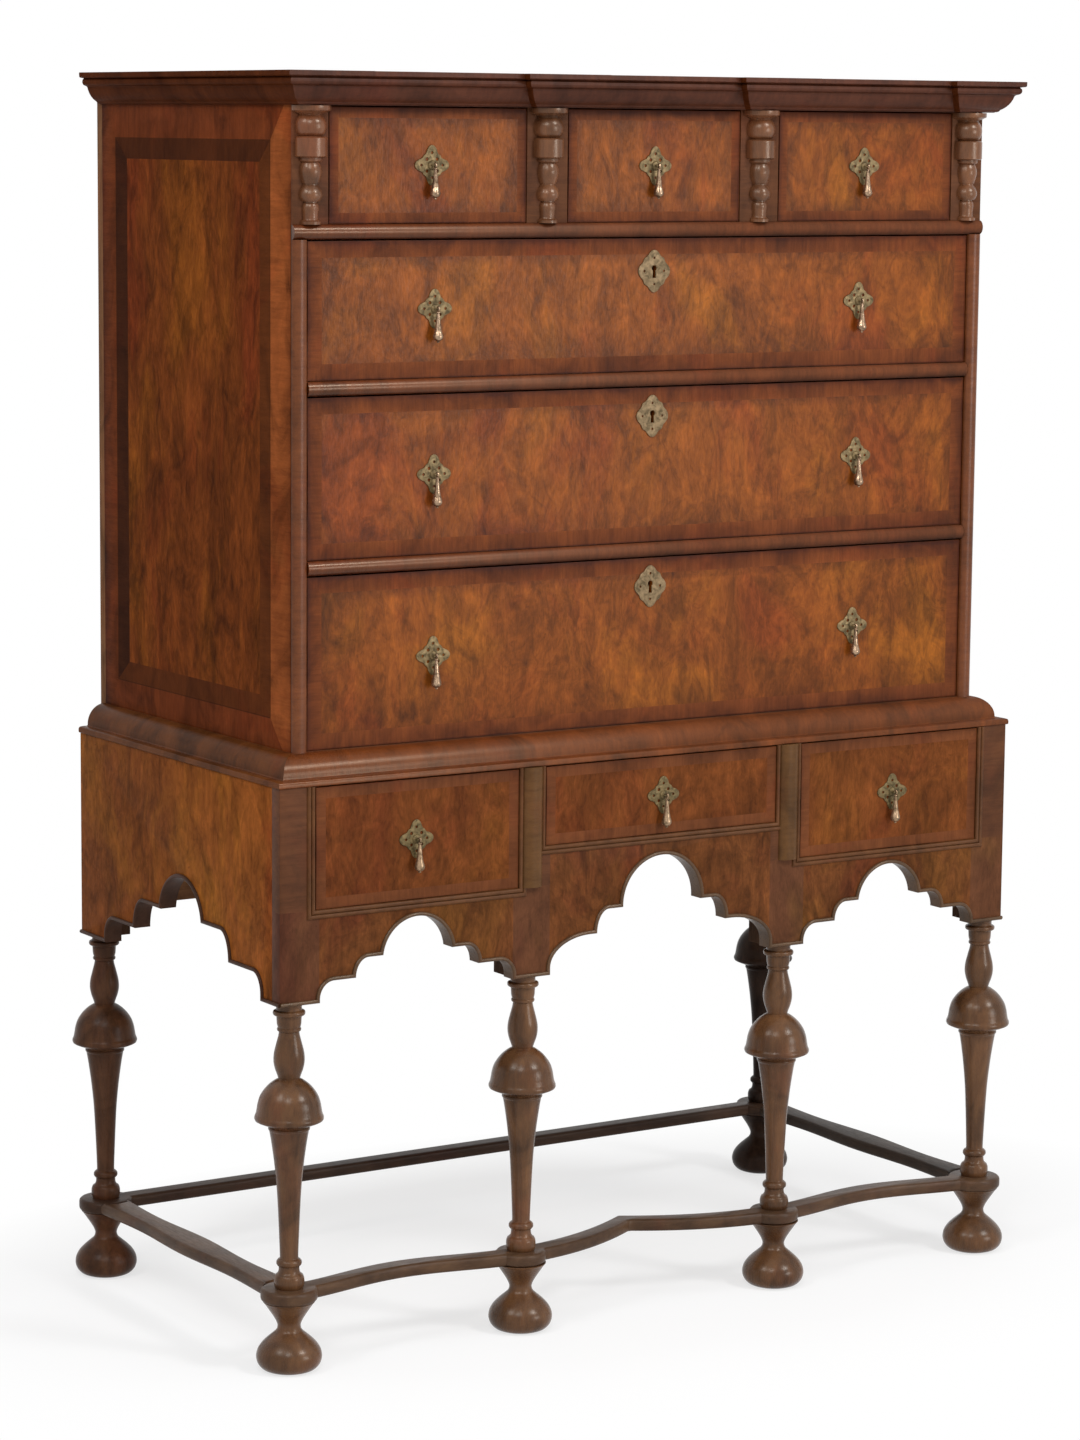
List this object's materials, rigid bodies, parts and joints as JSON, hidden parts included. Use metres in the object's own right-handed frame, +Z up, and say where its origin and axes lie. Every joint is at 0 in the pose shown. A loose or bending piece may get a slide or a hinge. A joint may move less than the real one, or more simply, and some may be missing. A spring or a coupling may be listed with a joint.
{
  "type": "highboy",
  "caption": "Tall chest of drawers on a stand: moulded cornice, split balusters, drawers with drop handles, arched apron, turned legs, flat stretchers and bun feet.",
  "frame": {"origin": "middle of the object's outer box at floor level, where the feet stand", "axes": "+Z up, +X to the right as seen from the front, the drawer fronts face -Y"},
  "size_m": [1.147, 0.58, 1.57],
  "materials": {
    "walnut": "waxed figured walnut veneer, warm brown",
    "side_walnut": "waxed straight-grained walnut, mid brown",
    "dark_walnut": "waxed cross-grained walnut, dark brown",
    "turned_walnut": "waxed turned walnut, grey brown",
    "pine": "bare pine, not finished",
    "brass": "aged brass, worn bright on the drops"
  },
  "bodies": {
    "chest": {"case_side_left": "side_walnut", "case_side_right": "side_walnut", "case_back": "pine", "case_bottom": "pine", "case_top": "side_walnut", "dustboard_1": "walnut", "dustboard_2": "walnut", "dustboard_3": "walnut", "partition_left": "side_walnut", "partition_right": "side_walnut", "split_baluster_1": "dark_walnut", "split_baluster_2": "dark_walnut", "split_baluster_3": "dark_walnut", "split_baluster_4": "dark_walnut", "cornice": "dark_walnut", "waist_moulding": "walnut", "stand_front": "walnut", "stand_side_left": "side_walnut", "stand_side_right": "side_walnut", "stand_back": "pine", "stand_partition_left": "pine", "stand_partition_right": "pine", "stand_top": "pine", "leg_front_left": "turned_walnut", "leg_front_mid_left": "turned_walnut", "leg_front_mid_right": "turned_walnut", "leg_front_right": "turned_walnut", "leg_back_left": "turned_walnut", "leg_back_right": "turned_walnut", "foot_front_left": "turned_walnut", "foot_front_mid_left": "turned_walnut", "foot_front_mid_right": "turned_walnut", "foot_front_right": "turned_walnut", "foot_back_left": "turned_walnut", "foot_back_right": "turned_walnut", "stretcher_front": "turned_walnut", "stretcher_back": "turned_walnut", "stretcher_left": "turned_walnut", "stretcher_right": "turned_walnut"},
    "long_1": {"drawer_long_1": "walnut"},
    "long_2": {"drawer_long_2": "walnut"},
    "long_3": {"drawer_long_3": "walnut"},
    "short_left": {"drawer_short_left": "walnut"},
    "short_middle": {"drawer_short_middle": "walnut"},
    "short_right": {"drawer_short_right": "walnut"},
    "stand_left": {"drawer_stand_left": "walnut"},
    "stand_middle": {"drawer_stand_middle": "walnut"},
    "stand_right": {"drawer_stand_right": "walnut"},
    "long_1_drop_left": {"drop_long_1_left": "brass"},
    "long_1_drop_right": {"drop_long_1_right": "brass"},
    "long_2_drop_left": {"drop_long_2_left": "brass"},
    "long_2_drop_right": {"drop_long_2_right": "brass"},
    "long_3_drop_left": {"drop_long_3_left": "brass"},
    "long_3_drop_right": {"drop_long_3_right": "brass"},
    "short_left_drop": {"drop_short_left": "brass"},
    "short_middle_drop": {"drop_short_middle": "brass"},
    "short_right_drop": {"drop_short_right": "brass"},
    "stand_left_drop": {"drop_stand_left": "brass"},
    "stand_middle_drop": {"drop_stand_middle": "brass"},
    "stand_right_drop": {"drop_stand_right": "brass"}
  },
  "joints": [
    {"name": "long_1_slide", "type": "slide", "parent": "chest", "child": "long_1", "axis": [0, -1, 0], "range_m": [0, 0.38]},
    {"name": "long_2_slide", "type": "slide", "parent": "chest", "child": "long_2", "axis": [0, -1, 0], "range_m": [0, 0.38]},
    {"name": "long_3_slide", "type": "slide", "parent": "chest", "child": "long_3", "axis": [0, -1, 0], "range_m": [0, 0.38]},
    {"name": "short_left_slide", "type": "slide", "parent": "chest", "child": "short_left", "axis": [0, -1, 0], "range_m": [0, 0.38]},
    {"name": "short_middle_slide", "type": "slide", "parent": "chest", "child": "short_middle", "axis": [0, -1, 0], "range_m": [0, 0.38]},
    {"name": "short_right_slide", "type": "slide", "parent": "chest", "child": "short_right", "axis": [0, -1, 0], "range_m": [0, 0.38]},
    {"name": "stand_left_slide", "type": "slide", "parent": "chest", "child": "stand_left", "axis": [0, -1, 0], "range_m": [0, 0.38]},
    {"name": "stand_middle_slide", "type": "slide", "parent": "chest", "child": "stand_middle", "axis": [0, -1, 0], "range_m": [0, 0.38]},
    {"name": "stand_right_slide", "type": "slide", "parent": "chest", "child": "stand_right", "axis": [0, -1, 0], "range_m": [0, 0.38]},
    {"name": "long_1_drop_left_hinge", "type": "hinge", "parent": "long_1", "child": "long_1_drop_left", "pos_m": [-0.32, -0.238, 0.865], "axis": [-1, 0, 0], "range_deg": [0, 85]},
    {"name": "long_1_drop_right_hinge", "type": "hinge", "parent": "long_1", "child": "long_1_drop_right", "pos_m": [0.32, -0.238, 0.865], "axis": [-1, 0, 0], "range_deg": [0, 85]},
    {"name": "long_2_drop_left_hinge", "type": "hinge", "parent": "long_2", "child": "long_2_drop_left", "pos_m": [-0.32, -0.238, 1.0875], "axis": [-1, 0, 0], "range_deg": [0, 85]},
    {"name": "long_2_drop_right_hinge", "type": "hinge", "parent": "long_2", "child": "long_2_drop_right", "pos_m": [0.32, -0.238, 1.0875], "axis": [-1, 0, 0], "range_deg": [0, 85]},
    {"name": "long_3_drop_left_hinge", "type": "hinge", "parent": "long_3", "child": "long_3_drop_left", "pos_m": [-0.32, -0.238, 1.288], "axis": [-1, 0, 0], "range_deg": [0, 85]},
    {"name": "long_3_drop_right_hinge", "type": "hinge", "parent": "long_3", "child": "long_3_drop_right", "pos_m": [0.32, -0.238, 1.288], "axis": [-1, 0, 0], "range_deg": [0, 85]},
    {"name": "short_left_drop_hinge", "type": "hinge", "parent": "short_left", "child": "short_left_drop", "pos_m": [-0.325, -0.238, 1.46], "axis": [-1, 0, 0], "range_deg": [0, 85]},
    {"name": "short_middle_drop_hinge", "type": "hinge", "parent": "short_middle", "child": "short_middle_drop", "pos_m": [0, -0.238, 1.46], "axis": [-1, 0, 0], "range_deg": [0, 85]},
    {"name": "short_right_drop_hinge", "type": "hinge", "parent": "short_right", "child": "short_right_drop", "pos_m": [0.325, -0.238, 1.46], "axis": [-1, 0, 0], "range_deg": [0, 85]},
    {"name": "stand_left_drop_hinge", "type": "hinge", "parent": "stand_left", "child": "stand_left_drop", "pos_m": [-0.364, -0.274, 0.6465], "axis": [-1, 0, 0], "range_deg": [0, 85]},
    {"name": "stand_middle_drop_hinge", "type": "hinge", "parent": "stand_middle", "child": "stand_middle_drop", "pos_m": [0, -0.274, 0.6715], "axis": [-1, 0, 0], "range_deg": [0, 85]},
    {"name": "stand_right_drop_hinge", "type": "hinge", "parent": "stand_right", "child": "stand_right_drop", "pos_m": [0.364, -0.274, 0.6465], "axis": [-1, 0, 0], "range_deg": [0, 85]}
  ]
}
